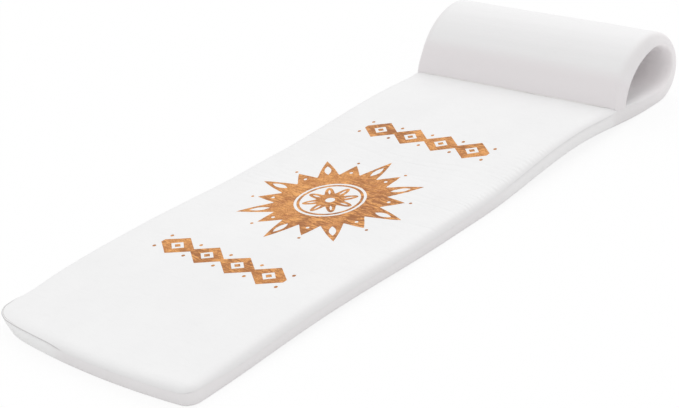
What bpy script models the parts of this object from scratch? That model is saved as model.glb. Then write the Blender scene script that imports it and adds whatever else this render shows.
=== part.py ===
"""Swim float mat: one long foam slab in a vinyl coating, its head end rolled over into a pillow.

X runs across the mat, +Y towards the pillow and +Z up. The origin is the middle of the mat's
plan, on the surface that it lies on. All sizes are in metres.
"""
from bisect import bisect_right
from math import atan2, cos, hypot, pi, radians, sin

import bmesh
import bpy
from mathutils import Vector

# Overall size
mat_length = 1.778
mat_width = 0.660
mat_thickness = 0.0445

# Layers of the slab
skin_thickness = 0.0008
touch_gap = 0.0003
bond_thickness = 0.0010
bond_clearance = 0.0006
bond_margin = 0.0040

# Edges of the slab
foot_bow = 0.025
foot_corner_radius = 0.030
deck_edge_reach = 0.022
deck_edge_drop = 0.007
under_edge_radius = 0.008
pillow_edge_radius = 0.016

# How the slab lies: flat strips on the floor, with a low arch between each two
foot_flat = 0.070
leg_arch_length = 0.745
leg_arch_height = 0.0088
leg_crest_share = 0.475
middle_flat = 0.130
back_arch_height = 0.0171
back_arch_tilt = 0.0063
back_crest_share = 0.538
pillow_flat = 0.035

# Pillow: a tight bend behind, a wider crown, and a front wall that lands on the deck
back_bend_radius = 0.070
back_bend_turn = radians(118.6)
crown_radius = 0.0856
crown_turn = radians(67.6)
landing_heading = radians(252.6)
bend_squeeze = 0.0168

# Printed pattern on the deck
ink_thickness = 0.0003
print_centre_y = -0.100
sun_tip_radius = 0.225
sun_short_tip_radius = 0.188
sun_valley_radius = 0.138
sun_hole_radius = 0.088
sun_slot_length = 0.050
sun_slot_width = 0.013
rosette_petal_radius = 0.068
rosette_valley_radius = 0.036
rosette_hole_radius = 0.012
band_distance = 0.355
band_diamond_length = 0.100
band_diamond_width = 0.082
band_window_length = 0.044
band_window_width = 0.036
band_neck = 0.012

# Counts of facets, rays and diamonds
leg_arch_steps = 9
back_arch_steps = 13
bend_steps = 11
crown_steps = 7
front_steps = 7
column_shares = (-0.5, 0.0, 0.5)
deck_edge_angles = tuple(radians(angle) for angle in (0, 30, 60, 90))
under_edge_angles = tuple(radians(angle) for angle in (0, 45, 90))
foot_corner_angles = tuple(radians(angle) for angle in (30, 60, 90))
sun_rays = 16
rosette_petals = 8
band_diamonds = 4
circle_points = 32
slot_points = 10

# Sizes that follow from those above
half_length = mat_length / 2
half_width = mat_width / 2
half_thick = mat_thickness / 2
foam_inset = skin_thickness + touch_gap
seam_height = half_thick - deck_edge_drop
corner_line_y = -half_length + foot_bow
arch_start = foot_flat - foot_bow
leg_arch_end = arch_start + leg_arch_length
back_arch_start = leg_arch_end + middle_flat
roll_start = half_length - back_bend_radius - half_thick - corner_line_y
back_arch_end = roll_start - pillow_flat
pillow_lift = touch_gap + bond_thickness + bond_clearance


def arch(s, start, end, crest_share, height):
    """Height of a low arch at s: a squared cosine that is flat at its crest and at both ends."""
    crest = start + crest_share * (end - start)
    run = crest - start if s < crest else end - crest
    part = max(-1.0, min(1.0, (s - crest) / run))
    return height * cos(part * pi / 2) ** 2


def deck_lift(s, x):
    """Height of the slab's underside over the floor, s along the deck and x across it."""
    leg = arch(s, arch_start, leg_arch_end, leg_crest_share, leg_arch_height)
    back = arch(s, back_arch_start, back_arch_end, back_crest_share, back_arch_height)
    tilt = arch(s, back_arch_start, back_arch_end, back_crest_share, back_arch_tilt)
    return leg + back + tilt * x / half_width


def deck_heading(s):
    """Slope angle of the deck at s, from the rise over a short step each way."""
    step = middle_flat / 100
    return atan2(deck_lift(s + step, 0.0) - deck_lift(s - step, 0.0), 2 * step)


def spread(start, end, steps):
    """Evenly spaced values after start, up to and with end."""
    return [start + (end - start) * (k + 1) / steps for k in range(steps)]


def deck_stations():
    """The slab's stations on the deck: (s, y, z of the middle layer, heading)."""
    places = [-foot_bow, arch_start]
    places += spread(arch_start, leg_arch_end, leg_arch_steps)
    places += [back_arch_start]
    places += spread(back_arch_start, back_arch_end, back_arch_steps)
    places += [roll_start]
    return [(s, corner_line_y + s, deck_lift(s, 0.0) + half_thick, deck_heading(s)) for s in places]


def arc_stations(start, radius, turn, steps):
    """Stations along an arc that carries on from the station start and turns upwards."""
    s, y, z, heading = start
    found = []
    for angle in spread(0.0, turn, steps):
        rise_y = radius * (sin(heading + angle) - sin(heading))
        rise_z = radius * (cos(heading) - cos(heading + angle))
        found.append((s + radius * angle, y + rise_y, z + rise_z, heading + angle))
    return found


def front_radius(crown_end):
    """Radius of the front wall that brings it down to the deck at the landing heading."""
    s, y, z, heading = crown_end
    landing_y = y
    for _ in range(6):
        floor_z = deck_lift(landing_y - corner_line_y, 0.0) + mat_thickness + pillow_lift
        radius = (z - floor_z) / (cos(landing_heading) - cos(heading))
        landing_y = y + radius * (sin(landing_heading) - sin(heading))
    return radius


def slab_stations():
    """All stations of the slab from the foot, along the deck and round the pillow."""
    found = deck_stations()
    found += arc_stations(found[-1], back_bend_radius, back_bend_turn, bend_steps)
    found += arc_stations(found[-1], crown_radius, crown_turn, crown_steps)
    front_turn = landing_heading - found[-1][3]
    found += arc_stations(found[-1], front_radius(found[-1]), front_turn, front_steps)
    return found


stations = slab_stations()
station_s = [station[0] for station in stations]
roll_index = station_s.index(roll_start)


def squeezed(n, heading):
    """Offset n from the middle layer after the bend behind the pillow has pressed the foam."""
    if not 0.0 < heading < pi:
        return n
    share = (n + half_thick - foam_inset) / (mat_thickness - 2 * foam_inset)
    return n - bend_squeeze * sin(heading) ** 2 * max(0.0, min(1.0, share))


def at_station(index, x, n):
    """Point of the slab at a station, x across and n out from the middle layer."""
    s, y, z, heading = stations[index]
    tilt = deck_lift(s, x) - deck_lift(s, 0.0) if index <= roll_index else 0.0
    n = squeezed(n, heading)
    return Vector((x, y - n * sin(heading), z + tilt + n * cos(heading)))


def place(x, s, n):
    """Point of the slab at any s, on the straight line between its two stations."""
    index = max(0, min(len(stations) - 2, bisect_right(station_s, s) - 1))
    share = (s - station_s[index]) / (station_s[index + 1] - station_s[index])
    return at_station(index, x, n).lerp(at_station(index + 1, x, n), share)


def deck_s(x, y, n):
    """The s at which the layer n of the deck lies over y."""
    s = y - corner_line_y
    for _ in range(4):
        s += y - place(x, s, n).y
    return s


def landed(x, n):
    """End of the front wall at x and n, run straight on or cut back to the bond's upper face."""
    s, y, z, heading = stations[-1]
    point = at_station(len(stations) - 1, x, n)
    for _ in range(8):
        rest = place(x, deck_s(x, point.y, half_thick), half_thick)
        miss = rest.z + pillow_lift - point.z
        point += Vector((0.0, cos(heading), sin(heading))) * (miss / sin(heading))
    return point


def edge_radius(heading):
    """Radius of the lower edge: small on the deck, larger where the pillow's roll draws it in."""
    share = max(0.0, min(1.0, heading / (pi / 2)))
    smooth = share * share * (3 - 2 * share)
    return under_edge_radius + (pillow_edge_radius - under_edge_radius) * smooth


def deck_profile(inset, rim, heading):
    """Round edge on the deck side, inset from the outer face: (distance in from the edge, n) from
    rim height inwards. It is the same at each heading."""
    points = []
    for angle in deck_edge_angles:
        outwards = cos(angle) / deck_edge_reach
        upwards = sin(angle) / deck_edge_drop
        slant = hypot(outwards, upwards)
        e = deck_edge_reach * (1 - cos(angle)) + inset * outwards / slant
        n = seam_height + deck_edge_drop * sin(angle) - inset * upwards / slant
        points.append((e, max(n, rim)))
    return points


def floor_profile(inset, rim, heading):
    """Side wall and round edge on the floor side, given as in deck_profile."""
    radius = edge_radius(heading)
    points = [(inset, rim)]
    for angle in under_edge_angles:
        e = radius - (radius - inset) * cos(angle)
        points.append((e, radius - half_thick - (radius - inset) * sin(angle)))
    return points


def spanned(right):
    """A row of (x, t, n) from the left side to the right, given its points on the right from the
    edge inwards. The columns between lie level with the last of them."""
    t, n = right[-1][1:]
    columns = [(share * half_width, t, n) for share in column_shares]
    return [(-x, t, n) for x, t, n in right] + columns + right[::-1]


def foot_rails(profile):
    """Rails that round off the foot end: one for each profile point along the bowed front edge,
    then one for each angle round its corners. t is the distance back from the foot edge."""
    radius = max(foot_corner_radius, deck_edge_reach)
    corner_x = half_width - radius
    rows = []
    for k in range(len(profile)):
        rows.append([(corner_x, e, n) for e, n in profile[:k] + profile[k:k + 1] * (len(profile) - k)])
    for angle in foot_corner_angles:
        rows.append([(corner_x + (radius - e) * sin(angle), radius - (radius - e) * cos(angle), n)
                     for e, n in profile])
    return [[place(x, t - foot_bow * (1 - (x / half_width) ** 2), n) for x, t, n in spanned(row)]
            for row in rows]


def slab_rings(sides, first, last):
    """Rings of one layer from the station first to the station last. Each of its two sides is
    (profile, inset, rim height)."""
    rings = []
    if first == 0:
        rings += zip(*[foot_rails(profile(inset, rim, 0.0)) for profile, inset, rim in sides])
    for index in range(max(first, 1), last + 1):
        landing = index == len(stations) - 1
        ring = []
        for profile, inset, rim in sides:
            right = [(half_width - e, 0.0, n) for e, n in profile(inset, rim, stations[index][3])]
            ring.append([landed(x, n) if landing else at_station(index, x, n)
                         for x, t, n in spanned(right)])
        rings.append(ring)
    return rings


def loft(name, rings, material):
    """A closed body through rings. Each ring is two rails with as many points, and the end
    rings are closed by strips between their rails. Each quad is cut from its near left corner to
    its far right one, on both rails, so that layers on each other keep their gap."""
    mesh = bpy.data.meshes.new(name)
    shape = bmesh.new()
    loops = [[shape.verts.new(point) for point in lower + upper[::-1]] for lower, upper in rings]
    count = len(loops[0])
    for near, far in zip(loops, loops[1:]):
        for k in range(count):
            after = (k + 1) % count
            if k < count // 2:
                shape.faces.new((near[k], near[after], far[after]))
                shape.faces.new((near[k], far[after], far[k]))
            else:
                shape.faces.new((near[k], near[after], far[k]))
                shape.faces.new((near[after], far[after], far[k]))
    for loop in (loops[0], loops[-1]):
        for k in range(count // 2 - 1):
            corners = [loop[k], loop[k + 1], loop[count - 2 - k], loop[count - 1 - k]]
            if k >= count // 4:
                corners = corners[1:] + corners[:1]
            shape.faces.new(corners[:3])
            shape.faces.new(corners[2:] + corners[:1])
    bmesh.ops.remove_doubles(shape, verts=shape.verts, dist=touch_gap / 20)
    bmesh.ops.recalc_face_normals(shape, faces=shape.faces)
    shape.to_mesh(mesh)
    shape.free()
    return finished(name, mesh, material)


def finished(name, mesh, material):
    """An object of the mat with its material and smooth shading."""
    mesh.materials.clear()
    mesh.materials.append(material)
    mesh.shade_smooth()
    mesh.set_sharp_from_angle(angle=radians(35))
    piece = bpy.data.objects.new(name, mesh)
    mat_collection.objects.link(piece)
    return piece


def plain_material(name, colour, roughness, metallic):
    """A Principled BSDF material of one colour."""
    material = bpy.data.materials.new(name)
    material.use_nodes = True
    shader = material.node_tree.nodes["Principled BSDF"]
    shader.inputs["Base Color"].default_value = (*colour, 1.0)
    shader.inputs["Roughness"].default_value = roughness
    shader.inputs["Metallic"].default_value = metallic
    return material


def make_foam_core():
    """The bent foam slab, one body from the foot to the pillow's landed end."""
    material = plain_material("closed_cell_foam", (0.86, 0.85, 0.80), 0.85, 0.0)
    sides = ((floor_profile, foam_inset, 0.0), (deck_profile, foam_inset, seam_height))
    return loft("foam_core", slab_rings(sides, 0, len(stations) - 1), material)


def make_top_skin():
    """Vinyl over the deck and on round the inside of the pillow, down to the seam on each edge."""
    material = plain_material("top_vinyl", (0.90, 0.90, 0.90), 0.42, 0.0)
    rim = seam_height + touch_gap / 2
    sides = ((deck_profile, skin_thickness, rim), (deck_profile, 0.0, rim))
    return loft("top_skin", slab_rings(sides, 0, len(stations) - 1), material)


def under_skin_rings(first, last):
    """Rings of the vinyl under the mat, which turns up to the seam at the sides and the foot."""
    rim = seam_height - touch_gap / 2
    return slab_rings(((floor_profile, 0.0, rim), (floor_profile, skin_thickness, rim)), first, last)


def make_bottom_skin():
    """Vinyl under the deck, the face that the mat lies on."""
    material = plain_material("bottom_vinyl", (0.88, 0.88, 0.88), 0.45, 0.0)
    return loft("bottom_skin", under_skin_rings(0, roll_index), material)


def make_pillow_skin():
    """Vinyl round the outside of the pillow, from the floor over the crown to the deck."""
    material = plain_material("pillow_vinyl", (0.89, 0.89, 0.89), 0.40, 0.0)
    rings = under_skin_rings(roll_index, len(stations) - 1)
    for rail in rings[0]:
        for point in rail:
            point.y += touch_gap
    return loft("pillow_skin", rings, material)


def make_pillow_bond():
    """Strip of glue that holds the landed end of the front wall to the deck."""
    material = plain_material("bond_glue", (0.80, 0.76, 0.66), 0.55, 0.0)
    reach = half_width - deck_edge_reach - bond_margin
    xs = [-reach] + [share * half_width for share in column_shares] + [reach]
    bottom = half_thick + touch_gap
    front = min(deck_s(x, landed(x, -half_thick).y, bottom) for x in xs) + bond_margin
    back = max(deck_s(x, landed(x, half_thick).y, bottom) for x in xs) - bond_margin
    rows = [front] + [s for s in station_s[:roll_index] if front < s < back] + [back]
    rings = []
    for s in rows:
        lower = [place(x, s, bottom) for x in xs]
        upper = [place(x, s, bottom + bond_thickness) for x in xs]
        rings.append([lower, upper])
    return loft("pillow_bond", rings, material)


def ring_of(radius_at, count):
    """Points round a centre, where radius_at(k) is the radius of the point k of count."""
    turn = 2 * pi / count
    return [(radius_at(k) * cos(k * turn), radius_at(k) * sin(k * turn)) for k in range(count)]


def ink_piece(name, outlines, centre_y, material):
    """A film of ink: flat outlines filled as a 2D curve, cut at the facets of the deck and laid
    on it."""
    curve = bpy.data.curves.new(name, "CURVE")
    curve.dimensions = "2D"
    curve.fill_mode = "BOTH"
    curve.extrude = ink_thickness / 2
    for outline in outlines:
        spline = curve.splines.new("POLY")
        spline.points.add(len(outline) - 1)
        for point, (x, y) in zip(spline.points, outline):
            point.co = (x, y, 0.0, 1.0)
        spline.use_cyclic_u = True
    guide = bpy.data.objects.new(name + "_outline", curve)
    mat_collection.objects.link(guide)
    graph = bpy.context.evaluated_depsgraph_get()
    mesh = bpy.data.meshes.new_from_object(guide.evaluated_get(graph))
    bpy.data.objects.remove(guide)
    shape = bmesh.new()
    shape.from_mesh(mesh)
    bmesh.ops.remove_doubles(shape, verts=shape.verts, dist=ink_thickness / 20)
    lines = [(Vector((0, s + corner_line_y - centre_y, 0)), Vector((0, 1, 0))) for s in station_s[:roll_index]]
    lines += [(Vector((share * half_width, 0, 0)), Vector((1, 0, 0))) for share in column_shares]
    for point, normal in lines:
        everything = shape.verts[:] + shape.edges[:] + shape.faces[:]
        bmesh.ops.bisect_plane(shape, geom=everything, plane_co=point, plane_no=normal, dist=touch_gap / 20)
    bmesh.ops.triangulate(shape, faces=shape.faces)
    base = half_thick + touch_gap + ink_thickness / 2
    for vert in shape.verts:
        vert.co = place(vert.co.x, vert.co.y + centre_y - corner_line_y, base + vert.co.z)
    bmesh.ops.recalc_face_normals(shape, faces=shape.faces)
    shape.to_mesh(mesh)
    shape.free()
    return finished(name, mesh, material)


def make_sunburst(ink):
    """Ring of long and short pointed rays round an open middle, with a slot in each long ray."""
    def radius_at(k):
        if k % 4 == 0:
            return sun_tip_radius
        return sun_short_tip_radius if k % 4 == 2 else sun_valley_radius

    outlines = [ring_of(radius_at, 2 * sun_rays)]
    outlines.append(ring_of(lambda k: sun_hole_radius, circle_points))
    slot_centre = (sun_valley_radius + sun_tip_radius - sun_slot_length / 2) / 2
    for ray in range(sun_rays // 2):
        turn = 4 * pi * ray / sun_rays
        slot = []
        for k in range(slot_points):
            angle = 2 * pi * k / slot_points
            along = slot_centre + sun_slot_length / 2 * cos(angle)
            across = sun_slot_width / 2 * sin(angle)
            slot.append((along * cos(turn) - across * sin(turn), along * sin(turn) + across * cos(turn)))
        outlines.append(slot)
    return ink_piece("print_sunburst", outlines, print_centre_y, ink)


def make_rosette(ink):
    """Flower of rounded petals in the middle of the sunburst, with a round eye."""
    mean = (rosette_petal_radius + rosette_valley_radius) / 2
    swing = (rosette_petal_radius - rosette_valley_radius) / 2
    count = 6 * rosette_petals
    petals = ring_of(lambda k: mean + swing * cos(rosette_petals * k * 2 * pi / count), count)
    eye = ring_of(lambda k: rosette_hole_radius, slot_points)
    return ink_piece("print_rosette", [petals, eye], print_centre_y, ink)


def make_band(name, centre_y, ink):
    """Row of diamonds across the mat, joined by narrow necks, each with a diamond window."""
    first = -(band_diamonds - 1) / 2
    centres = [(first + k) * band_diamond_length for k in range(band_diamonds)]
    near_edge = []
    for centre in centres:
        near_edge += [(centre - band_diamond_length / 2, band_neck / 2), (centre, band_diamond_width / 2)]
    near_edge.append((centres[-1] + band_diamond_length / 2, band_neck / 2))
    outlines = [near_edge + [(x, -y) for x, y in reversed(near_edge)]]
    for centre in centres:
        half_along, half_across = band_window_length / 2, band_window_width / 2
        outlines.append([(centre - half_along, 0.0), (centre, half_across),
                         (centre + half_along, 0.0), (centre, -half_across)])
    return ink_piece(name, outlines, centre_y, ink)


def make_print():
    """The printed pattern, as four films of copper ink on the deck."""
    ink = plain_material("copper_ink", (0.58, 0.29, 0.12), 0.45, 0.25)
    make_sunburst(ink)
    make_rosette(ink)
    make_band("print_band_foot", print_centre_y - band_distance, ink)
    make_band("print_band_head", print_centre_y + band_distance, ink)


for old in list(bpy.data.objects):
    bpy.data.objects.remove(old, do_unlink=True)
mat_collection = bpy.data.collections.new("swim_float_mat")
bpy.context.scene.collection.children.link(mat_collection)
make_foam_core()
make_top_skin()
make_bottom_skin()
make_pillow_skin()
make_pillow_bond()
make_print()
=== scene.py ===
"""Swim float mat: a long foam slab in a white vinyl coating, its head end rolled into a pillow.

X runs across the mat, +Y towards the pillow and +Z up. All sizes are in metres. A point of the
slab is given by x, the length s along its middle layer from the foot corners, and the height n
over that layer. On the rim, past is the length past the foot's round corners. A stretch is
given as (start, end, ramp) and a rise as (start, run).
"""
from math import cos, pi, radians, sin, tau

import bmesh
import bpy
import numpy as np
from mathutils import Matrix, Vector


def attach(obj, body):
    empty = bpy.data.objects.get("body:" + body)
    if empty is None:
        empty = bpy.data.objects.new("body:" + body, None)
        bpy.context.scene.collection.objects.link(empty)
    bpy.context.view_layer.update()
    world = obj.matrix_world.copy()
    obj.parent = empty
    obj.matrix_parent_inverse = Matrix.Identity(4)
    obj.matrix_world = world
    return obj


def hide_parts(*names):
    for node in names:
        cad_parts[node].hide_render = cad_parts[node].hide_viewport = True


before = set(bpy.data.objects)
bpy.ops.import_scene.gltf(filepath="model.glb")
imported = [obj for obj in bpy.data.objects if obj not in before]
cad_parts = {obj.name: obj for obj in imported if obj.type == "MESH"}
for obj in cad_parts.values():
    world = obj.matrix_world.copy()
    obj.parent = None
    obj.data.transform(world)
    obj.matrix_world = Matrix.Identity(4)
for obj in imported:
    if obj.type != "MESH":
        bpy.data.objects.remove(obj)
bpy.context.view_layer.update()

# Slab
mat_length = 1.778
mat_width = 0.660
mat_thickness = 0.0445
foam_inset = 0.0011
coating_thickness = 0.0008
half_length = mat_length / 2
half_width = mat_width / 2
half_thick = mat_thickness / 2

# Outline of the foot
foot_bow = 0.025
foot_bow_run = 0.25
foot_corner_radius = 0.030

# How the slab lies
foot_flat = 0.070
leg_arch_length = 0.745
leg_arch_height = 0.0088
leg_crest_share = 0.475
middle_flat = 0.130
back_arch_height = 0.0171
back_arch_tilt = 0.0063
back_crest_share = 0.538
pillow_flat = 0.035

# Pillow
back_bend_radius = 0.070
back_bend_turn = radians(118.6)
crown_radius = 0.0856
crown_turn = radians(67.6)
landing_heading = radians(252.6)
bend_squeeze = 0.0168
landing_lift = 0.0016
run_out = 0.040

# Where the pillow's front wall meets the deck
landing_line = 1.473
landing_length = 0.06
landing_ramp = 0.05
landing_gap = 0.0009
landing_side_gap = 0.0004
landing_side_reach = 0.030
landing_side_run = 0.022
landing_search = 0.06
landing_stretch = 0.05

# Fall of the deck's edge to the seam, and what each place adds to it
edge_fall = 0.007
lying_fall = 0.005
long_side_fall = 0.006
mouth_fall = 0.003
crisp_foot_fall = -0.0015
tip_fall = -0.0022
landing_fall = -0.002
firm_side_share = 0.3
firm_side_stretch = (1.05, 1.62, 0.25)
tip_reach = 0.12

# Width of the deck's edge, and what each place adds to it
edge_width = 0.028
past_foot_width = -0.002
long_side_width = -0.004
mouth_width = 0.006
tight_width = -0.009
narrow_side_share = 0.4
narrow_side_stretch = (1.10, 1.62, 0.25)

# Places along the rim
right_side_x = 0.2
past_foot_rise = (0, 0.10)
long_side_end = (0.75, 0.45)
roll_lead = 0.06
roll_run = 0.10
mouth_lead = 0.03
mouth_stop = 0.29
mouth_ramp = 0.11

# Crisp seam, with the deck's lip over a groove
crisp_foot_stretch = (-0.34, -0.115, 0.085)
crisp_foot_end = (0.01, 0.10)
crisp_side_share = 0.6
crisp_side_rise = (0.89, 0.16)
crisp_side_stop = 0.03
lip_angle = 0.6
lip_out = 0.0009
lip_up = 0.0005
lip_base = 0.0002
lip_fade = 6
groove_height = 0.005
groove_depth = 0.0030
groove_rise = 0.0018
# The seam's line gets painted shade over this reach from the seam.
seam_shade_reach = 0.0035

# Side wall and lower edge
under_edge_radius = 0.008
pillow_edge_radius = 0.016
landed_shrink_share = 0.65
landed_shrink_run = 0.05
wall_bulge = 0.0008
wall_crowding = 1.7

# Left foot corner, drawn in and drooped
corner_rise_x = (0.10, 0.23)
corner_end_s = (0.03, 0.17)
corner_droop = 0.005
droop_rise_n = (0.006, 0.016)
corner_draw = 0.010
draw_rise_x = (0.15, 0.15)
tuck_end_n = (-0.019, 0.028)
tuck_reach = 0.13
tuck_x = 0.012
tuck_s = 0.010
round_off_reach = 0.07
round_off_x = 0.005
round_off_s = 0.011

# Relief of the coating
swell_lengths = (0.16, 0.5)
swell_height = 0.00045
pillow_swell_height = 0.00035
crumple_lengths = (0.040, 0.08)
crumple_height = 0.00006
crumple_stretch = (0.62, 1.18, 0.20)
smooth_foot = 0.02
smooth_pillow = 0.05
relief_rise = (0.0005, 0.010)
pillow_mark_height = 0.00010
pillow_mark_length = 0.031
pillow_mark_wander = 2.0
pillow_mark_turn = 3.1
wide_mark_length = 0.052
wide_mark_turn = 1.5
pillow_mark_rise = (0.03, 0.06)

# Creases across the deck, each drawn at random
crease_count = 46
crease_middle_s = 0.90
crease_spread_s = 0.16
crease_x_range = (-0.26, 0.30)
crease_reach_range = (0.04, 0.15)
crease_flat_share = 0.4
crease_slant = 0.10
crease_bow = 0.35
crease_width_range = (0.0028, 0.0050)
crease_depth_range = (0.0002, 0.0006)

# Pleats at the deck's sides
pleat_height = 0.0006
pleat_spacing = 0.0130
pleat_rise_x = (0.262, 0.045)
pleat_stretch = (0.90, 1.12, 0.16)
left_pleat_share = 0.7
pleat_slant = 0.28
pleat_wander = 1.5
pleat_wander_length = 0.13
pleat_swing_share = 0.35
pleat_swing_length = 0.047
pleat_swing_phase = 1.0

# Glue bead
glue_side_gap = 0.014
glue_half_depth = 0.0005
glue_bead_depth = 0.0016
glue_bead_width = 0.0022
glue_wander_lengths = (0.012, 0.09)
glue_wander_share = 0.22
glue_point_share = 0.2
glue_taper_power = 30
glue_bead_power = 24
glue_sections = 240
glue_round_points = 64

# Points of the meshes, rounds of the searches and merge distances
lying_points = 1600
arc_points = 200
end_points = 20
edge_points = 17
wall_points = 9
deck_columns = 46
under_columns = 24
corner_rows = 15
length_rows = 600
row_search_points = 4000
radius_rounds = 6
deck_rounds = 3
landing_rounds = 24
merge_distance = 0.00001
ink_merge_distance = 0.00002

# Print
print_centre_y = -0.100
ink_gap = 0.00035
ink_thickness = 0.00012
ink_cut_x = 0.016
ink_cut_y = 0.002
sun_rays = 16
sun_tip_radius = 0.225
sun_short_tip_radius = 0.188
sun_valley_radius = 0.138
sun_hole_radius = 0.088
sun_slot_length = 0.050
sun_slot_width = 0.0169
sun_inner_dot_radius = 0.0045
sun_inner_dot_gap = 0.010
sun_outer_dot_radius = 0.0040
sun_outer_dot_gap = 0.014
sun_ray_hollow = 1.25
rosette_petals = 8
rosette_petal_radius = 0.068
rosette_valley_radius = 0.036
rosette_hole_radius = 0.012
rosette_ring_shares = (0.3, 0.65)
petal_slot_length = 0.026
petal_slot_width = 0.0058
petal_slot_radius = 0.045
band_distance = 0.355
band_diamonds = 4
band_diamond_length = 0.100
band_diamond_width = 0.082
band_window_length = 0.044
band_window_width = 0.036
band_centre_share = 0.45
band_neck = 0.012
band_dot_radius = 0.0045
band_dot_y = 0.028
ray_points = 20
petal_points = 30
sun_hole_points = 96
rosette_hole_points = 40
rosette_ring_points = 120
lens_points = 28
dot_points = 14

# Relief and tones of the finishes, painted light and shade among the tones
wrinkle_push_scale = 16.0
wrinkle_push = (0.05, 0.022, 0.0)
deck_wrinkles = (26, 135, 1)
under_wrinkles = (18, 90, 1)
ink_lines = (22, 96, 1)
dimple_scale = 120.0
pebble_scale = 850.0
mottle_scale = 7.0
ink_grain_scale = 260.0
ink_cloud_scale = 30.0
ink_patch_scale = 9.0
glue_lump_scale = 160.0
wrinkle_share = 0.6
dimple_share = 0.3
pebble_share = 0.10
# The wrinkles' and the ink's lines carry painted shade in their creases.
wrinkle_levels = (0.54, 0.74)
mottle_levels = (0.35, 0.7)
ink_tone_levels = (0.38, 0.62)
ink_line_levels = (0.80, 0.98)
ink_patch_levels = (0.40, 0.60)
vinyl_roughness = 0.42
ink_roughness = 0.40
gloss_break_share = 0.10
ink_cloud_break_share = 0.14
mottle_tone_share = 0.6
# Strength of the painted shade along the seam's line.
seam_shade_strength = 0.85
calm_foot_share = 0.35
ink_grain_share = 0.6
ink_line_share = 0.35
ink_dip_share = 0.25
vinyl_relief_height = 0.0012
glue_lump_height = 0.0006
calm_foot_reach = (0.25, 0.65)
# Where the pillow's tones, partly painted light and shade, begin and end along the mat, and how far
# round the rim its painted shade and light reach.
rolled_tone_leads = (0.14, -0.02)
front_tone_leads = (0.245, 0.185)
landed_tone_leads = (0.085, 0.058)
rim_tone_reach = (0.003, 0.026)
foot_rim_extra = 0.012
longest_length = 2.5
widest_rim = 0.1
# Painted light on the wall under a crisp seam.
painted_light_tone = (0.94, 0.94, 0.94)
# Painted shade along the seam's line.
seam_shade_colour = (0.42, 0.41, 0.41)
dark_copper = (0.43, 0.145, 0.030)
light_copper = (0.87, 0.430, 0.132)
# Painted shade in the ink's crease lines.
ink_crease_shade = (0.34, 0.125, 0.035)
dark_glue = (0.82, 0.80, 0.77)
light_glue = (0.90, 0.89, 0.87)
pale = (0.91, 0.91, 0.91)
white = (1, 1, 1)

# Camera, floor and light
camera_spot = (2.6198, -2.5425, 1.7451)
camera_aim = (-0.0326, -0.0409, 0.0)
camera_roll = -0.1514
focus_pixels = 1671.7
picture_width_pixels = 679
sensor_width_mm = 36
view_end = 100
floor_reach = 9.0
floor_height = -0.0004
floor_white_share = 0.88
studio_strength = 0.825
lamp_spot = (-0.9, 2.4, 3.1)
lamp_strength = 0.69
lamp_spread = radians(50)

# Places along the slab
corner_line_y = -half_length + foot_bow
arch_start = foot_flat - foot_bow
leg_arch_end = arch_start + leg_arch_length
back_arch_start = leg_arch_end + middle_flat
roll_start = half_length - back_bend_radius - half_thick - corner_line_y
back_arch_end = roll_start - pillow_flat


def arch(s, start, end, crest_share, height):
    """A low arch: height times the squared cosine of the way from its crest to either end."""
    crest = start + crest_share * (end - start)
    run = np.where(s < crest, crest - start, end - crest)
    return height * np.cos(np.clip((s - crest) / run, -1, 1) * pi / 2) ** 2


def deck_lift(s, x):
    """Height of the slab's underside: a leg arch and a back arch, the second tilted across x."""
    leg = arch(s, arch_start, leg_arch_end, leg_crest_share, leg_arch_height)
    back = arch(s, back_arch_start, back_arch_end, back_crest_share, back_arch_height)
    tilt = arch(s, back_arch_start, back_arch_end, back_crest_share, back_arch_tilt)
    return leg + back + tilt * x / half_width


def front_radius(y, z, heading):
    """Radius of the pillow's front wall: the fall to the deck over the fall of a unit arc. The
    deck's height where it lands depends on the radius, so it is found in a few rounds."""
    landing_y = y
    for _ in range(radius_rounds):
        floor_z = float(deck_lift(landing_y - corner_line_y, 0.0)) + mat_thickness + landing_lift
        radius = (z - floor_z) / (cos(landing_heading) - cos(heading))
        landing_y = y + radius * (sin(landing_heading) - sin(heading))
    return radius


def slab_line():
    """Middle layer as arrays s, y, z and heading: the deck's lift over s, then arcs, each of which
    adds radius times the change of the heading's sine to y and of its cosine to z, then a short
    straight run past the pillow's landed end."""
    s = np.linspace(-foot_bow, roll_start, lying_points)
    z = deck_lift(s, 0.0) + half_thick
    parts = [(s, corner_line_y + s, z, np.arctan(np.gradient(z, s)))]
    arcs = [(back_bend_radius, back_bend_turn), (crown_radius, crown_turn), (None, None)]
    for radius, turn in arcs:
        s0, y0, z0, h0 = (column[-1] for column in parts[-1])
        if radius is None:
            radius, turn = front_radius(y0, z0, h0), landing_heading - h0
        angle = np.linspace(0, turn, arc_points)[1:]
        parts.append((s0 + radius * angle, y0 + radius * (np.sin(h0 + angle) - np.sin(h0)),
                      z0 + radius * (np.cos(h0) - np.cos(h0 + angle)), h0 + angle))
    s0, y0, z0, h0 = (column[-1] for column in parts[-1])
    way = np.linspace(0, run_out, end_points)[1:]
    parts.append((s0 + way, y0 + way * np.cos(h0), z0 + way * np.sin(h0), np.full_like(way, h0)))
    return [np.concatenate(columns) for columns in zip(*parts)]


line_s, line_y, line_z, line_heading = slab_line()
line_end = line_s[-1] - run_out
sheet_end = line_end - foot_corner_radius
landing_past = landing_line - foot_corner_radius

# Stretches near the pillow
smooth_stretch = (smooth_foot, roll_start - smooth_pillow, smooth_pillow)
rolled_rise = (roll_start - roll_lead, roll_run)
mouth_stretch = (roll_start - mouth_lead, line_end - mouth_stop, mouth_ramp)
under_landing_stretch = (landing_past, landing_past + landing_length, landing_ramp)

# Stretches with closer rows, each with how much closer
row_crowds = (
    (1.6, (0.34, 1.18, 0.08)),
    (1.2, (0.86, 1.12, 0.06)),
    (0.3, (roll_start, sheet_end, 0.05)),
    (0.6, (landing_past, landing_past + landing_length, 0.03)),
)


def heading_at(s):
    """Heading of the middle layer at s, from the line's table."""
    return np.interp(s, line_s, line_heading)


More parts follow.
